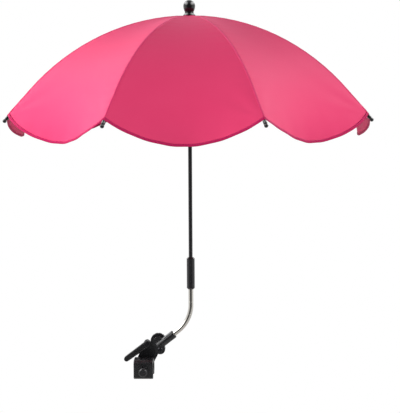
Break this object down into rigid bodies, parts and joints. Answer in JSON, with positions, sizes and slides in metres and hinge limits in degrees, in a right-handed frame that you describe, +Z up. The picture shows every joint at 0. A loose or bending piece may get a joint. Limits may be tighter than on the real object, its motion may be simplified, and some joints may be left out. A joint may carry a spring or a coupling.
{
  "type": "pram parasol",
  "caption": "Folding pram parasol with a scalloped cloth cover on sprung ribs, a flexible neck, a tilting joint and a screw clamp for a push bar.",
  "frame": {"origin": "centre of the clamped bar, at the middle of the clamp", "axes": "+X along the bar, +Z up along the shaft, +Y from the clamp knob towards the tilt knob, so the front seen in the picture faces -Y"},
  "size_m": [0.7171, 0.717, 0.7708],
  "materials": {
    "cover_cloth": "woven polyester, raspberry pink, bound edge",
    "washer_cloth": "stitched cloth washer",
    "tip_plastic": "moulded black plastic",
    "rib_steel": "black-coated pressed steel channel",
    "shaft_steel": "satin black powder coat on tube",
    "neck_metal": "bright nickel-plated wound steel",
    "fastener_steel": "zinc-plated steel",
    "liner_rubber": "black rubber",
    "finial_plastic": "polished black plastic",
    "body_plastic": "satin moulded black plastic"
  },
  "bodies": {
    "clamp": {"clamp_body": "body_plastic", "clamp_liner": "liner_rubber", "lever_pin": "fastener_steel"},
    "pad": {"pressure_pad": "body_plastic", "pad_liner": "liner_rubber"},
    "knob": {"clamp_knob": "body_plastic", "clamp_screw": "fastener_steel"},
    "lever": {"tilt_lever": "body_plastic"},
    "socket": {"neck_socket": "body_plastic", "socket_screw": "fastener_steel", "tilt_disc": "body_plastic", "tilt_bolt": "fastener_steel"},
    "tilt_nut": {"tilt_knob": "body_plastic"},
    "neck_1": {"gooseneck_1": "neck_metal"},
    "neck_2": {"gooseneck_2": "neck_metal"},
    "neck_3": {"gooseneck_3": "neck_metal"},
    "mast": {"gooseneck_4": "neck_metal", "sleeve": "body_plastic", "shaft": "shaft_steel", "crown": "body_plastic", "finial": "finial_plastic", "cover_washer": "washer_cloth", "runner_stop": "fastener_steel"},
    "catch": {"runner_catch": "fastener_steel"},
    "runner": {"runner": "body_plastic"},
    "rib_1": {"rib_1": "rib_steel", "rib_tip_1": "tip_plastic", "cover_panel_1": "cover_cloth"},
    "stretcher_1": {"stretcher_1": "rib_steel"},
    "rib_2": {"rib_2": "rib_steel", "rib_tip_2": "tip_plastic", "cover_panel_2": "cover_cloth"},
    "stretcher_2": {"stretcher_2": "rib_steel"},
    "rib_3": {"rib_3": "rib_steel", "rib_tip_3": "tip_plastic", "cover_panel_3": "cover_cloth"},
    "stretcher_3": {"stretcher_3": "rib_steel"},
    "rib_4": {"rib_4": "rib_steel", "rib_tip_4": "tip_plastic", "cover_panel_4": "cover_cloth"},
    "stretcher_4": {"stretcher_4": "rib_steel"},
    "rib_5": {"rib_5": "rib_steel", "rib_tip_5": "tip_plastic", "cover_panel_5": "cover_cloth"},
    "stretcher_5": {"stretcher_5": "rib_steel"},
    "rib_6": {"rib_6": "rib_steel", "rib_tip_6": "tip_plastic", "cover_panel_6": "cover_cloth"},
    "stretcher_6": {"stretcher_6": "rib_steel"},
    "rib_7": {"rib_7": "rib_steel", "rib_tip_7": "tip_plastic", "cover_panel_7": "cover_cloth"},
    "stretcher_7": {"stretcher_7": "rib_steel"},
    "rib_8": {"rib_8": "rib_steel", "rib_tip_8": "tip_plastic", "cover_panel_8": "cover_cloth"},
    "stretcher_8": {"stretcher_8": "rib_steel"}
  },
  "joints": [
    {"name": "pad_slide", "type": "slide", "parent": "clamp", "child": "pad", "axis": [0, 1, 0], "range_m": [-0.006, 0.002]},
    {"name": "clamp_knob_turn", "type": "hinge", "parent": "pad", "child": "knob", "pos_m": [0, -0.0408, 0], "axis": [0, 1, 0], "range_deg": [-1080, 360]},
    {"name": "tilt_lever_lift", "type": "hinge", "parent": "clamp", "child": "lever", "pos_m": [0.0055, 0, 0.0485], "axis": [0, 1, 0], "range_deg": [0, 75]},
    {"name": "hub_tilt", "type": "hinge", "parent": "clamp", "child": "socket", "pos_m": [0.0293, 0, 0.0542], "axis": [0, 1, 0], "range_deg": [-35, 35]},
    {"name": "tilt_knob_turn", "type": "hinge", "parent": "socket", "child": "tilt_nut", "pos_m": [0.0293, 0, 0.0542], "axis": [0, 1, 0], "continuous": true},
    {"name": "neck_bend_lower", "type": "hinge", "parent": "socket", "child": "neck_1", "pos_m": [0.07296, 0, 0.07952], "axis": [0, 1, 0], "range_deg": [-20, 20], "deforming": ["gooseneck_1", "gooseneck_2", "gooseneck_3", "gooseneck_4"]},
    {"name": "neck_sway_lower", "type": "hinge", "parent": "neck_1", "child": "neck_2", "pos_m": [0.08932, 0, 0.10002], "axis": [0.8846, 0, -0.4663], "range_deg": [-20, 20], "deforming": ["gooseneck_1", "gooseneck_2", "gooseneck_3", "gooseneck_4"]},
    {"name": "neck_bend_upper", "type": "hinge", "parent": "neck_2", "child": "neck_3", "pos_m": [0.09698, 0, 0.1251], "axis": [0, 1, 0], "range_deg": [-20, 20], "deforming": ["gooseneck_1", "gooseneck_2", "gooseneck_3", "gooseneck_4"]},
    {"name": "neck_sway_upper", "type": "hinge", "parent": "neck_3", "child": "mast", "pos_m": [0.09739, 0, 0.15147], "axis": [1, 0, 0], "range_deg": [-20, 20], "deforming": ["gooseneck_1", "gooseneck_2", "gooseneck_3", "gooseneck_4"]},
    {"name": "runner_slide", "type": "slide", "parent": "mast", "child": "runner", "axis": [0, 0, -1], "range_m": [0, 0.25927], "deforming": ["cover_panel_1", "cover_panel_2", "cover_panel_3", "cover_panel_4", "cover_panel_5", "cover_panel_6", "cover_panel_7", "cover_panel_8", "runner_catch"]},
    {"name": "catch_press", "type": "slide", "parent": "mast", "child": "catch", "axis": [1, 0, 0], "range_m": [0, 0.0022], "stiffness_N_per_m": 600, "springref_m": -0.001},
    {"name": "rib_hinge_1", "type": "hinge", "parent": "mast", "child": "rib_1", "pos_m": [0.10755, 0.00421, 0.71566], "axis": [-0.3827, 0.9239, 0], "range_deg": [-0.5, 60.5]},
    {"name": "stretcher_hinge_1", "type": "hinge", "parent": "rib_1", "child": "stretcher_1", "pos_m": [0.26702, 0.07026, 0.67596], "axis": [-0.3827, 0.9239, 0], "range_deg": [-121, 1]},
    {"name": "rib_hinge_2", "type": "hinge", "parent": "mast", "child": "rib_2", "pos_m": [0.1016, 0.01016, 0.71566], "axis": [-0.9239, 0.3827, 0], "range_deg": [-0.5, 60.5]},
    {"name": "stretcher_hinge_2", "type": "hinge", "parent": "rib_2", "child": "stretcher_2", "pos_m": [0.16766, 0.16963, 0.67596], "axis": [-0.9239, 0.3827, 0], "range_deg": [-121, 1]},
    {"name": "rib_hinge_3", "type": "hinge", "parent": "mast", "child": "rib_3", "pos_m": [0.09318, 0.01016, 0.71566], "axis": [-0.9239, -0.3827, 0], "range_deg": [-0.5, 60.5]},
    {"name": "stretcher_hinge_3", "type": "hinge", "parent": "rib_3", "child": "stretcher_3", "pos_m": [0.02713, 0.16963, 0.67596], "axis": [-0.9239, -0.3827, 0], "range_deg": [-121, 1]},
    {"name": "rib_hinge_4", "type": "hinge", "parent": "mast", "child": "rib_4", "pos_m": [0.08723, 0.00421, 0.71566], "axis": [-0.3827, -0.9239, 0], "range_deg": [-0.5, 60.5]},
    {"name": "stretcher_hinge_4", "type": "hinge", "parent": "rib_4", "child": "stretcher_4", "pos_m": [-0.07224, 0.07026, 0.67596], "axis": [-0.3827, -0.9239, 0], "range_deg": [-121, 1]},
    {"name": "rib_hinge_5", "type": "hinge", "parent": "mast", "child": "rib_5", "pos_m": [0.08723, -0.00421, 0.71566], "axis": [0.3827, -0.9239, 0], "range_deg": [-0.5, 60.5]},
    {"name": "stretcher_hinge_5", "type": "hinge", "parent": "rib_5", "child": "stretcher_5", "pos_m": [-0.07224, -0.07026, 0.67596], "axis": [0.3827, -0.9239, 0], "range_deg": [-121, 1]},
    {"name": "rib_hinge_6", "type": "hinge", "parent": "mast", "child": "rib_6", "pos_m": [0.09318, -0.01016, 0.71566], "axis": [0.9239, -0.3827, 0], "range_deg": [-0.5, 60.5]},
    {"name": "stretcher_hinge_6", "type": "hinge", "parent": "rib_6", "child": "stretcher_6", "pos_m": [0.02713, -0.16963, 0.67596], "axis": [0.9239, -0.3827, 0], "range_deg": [-121, 1]},
    {"name": "rib_hinge_7", "type": "hinge", "parent": "mast", "child": "rib_7", "pos_m": [0.1016, -0.01016, 0.71566], "axis": [0.9239, 0.3827, 0], "range_deg": [-0.5, 60.5]},
    {"name": "stretcher_hinge_7", "type": "hinge", "parent": "rib_7", "child": "stretcher_7", "pos_m": [0.16766, -0.16963, 0.67596], "axis": [0.9239, 0.3827, 0], "range_deg": [-121, 1]},
    {"name": "rib_hinge_8", "type": "hinge", "parent": "mast", "child": "rib_8", "pos_m": [0.10755, -0.00421, 0.71566], "axis": [0.3827, 0.9239, 0], "range_deg": [-0.5, 60.5]},
    {"name": "stretcher_hinge_8", "type": "hinge", "parent": "rib_8", "child": "stretcher_8", "pos_m": [0.26702, -0.07026, 0.67596], "axis": [0.3827, 0.9239, 0], "range_deg": [-121, 1]}
  ],
  "couplings": [
    {"joint": "clamp_knob_turn", "follows": "pad_slide", "rad_per_m": 3141.6},
    {"joint": "neck_bend_upper", "follows": "neck_bend_lower", "ratio": 1},
    {"joint": "neck_sway_upper", "follows": "neck_sway_lower", "ratio": 1},
    {"joint": "rib_hinge_1", "follows": "runner_slide", "rad_per_m": 4.039},
    {"joint": "stretcher_hinge_1", "follows": "runner_slide", "rad_per_m": -8.078},
    {"joint": "rib_hinge_2", "follows": "runner_slide", "rad_per_m": 4.039},
    {"joint": "stretcher_hinge_2", "follows": "runner_slide", "rad_per_m": -8.078},
    {"joint": "rib_hinge_3", "follows": "runner_slide", "rad_per_m": 4.039},
    {"joint": "stretcher_hinge_3", "follows": "runner_slide", "rad_per_m": -8.078},
    {"joint": "rib_hinge_4", "follows": "runner_slide", "rad_per_m": 4.039},
    {"joint": "stretcher_hinge_4", "follows": "runner_slide", "rad_per_m": -8.078},
    {"joint": "rib_hinge_5", "follows": "runner_slide", "rad_per_m": 4.039},
    {"joint": "stretcher_hinge_5", "follows": "runner_slide", "rad_per_m": -8.078},
    {"joint": "rib_hinge_6", "follows": "runner_slide", "rad_per_m": 4.039},
    {"joint": "stretcher_hinge_6", "follows": "runner_slide", "rad_per_m": -8.078},
    {"joint": "rib_hinge_7", "follows": "runner_slide", "rad_per_m": 4.039},
    {"joint": "stretcher_hinge_7", "follows": "runner_slide", "rad_per_m": -8.078},
    {"joint": "rib_hinge_8", "follows": "runner_slide", "rad_per_m": 4.039},
    {"joint": "stretcher_hinge_8", "follows": "runner_slide", "rad_per_m": -8.078}
  ]
}
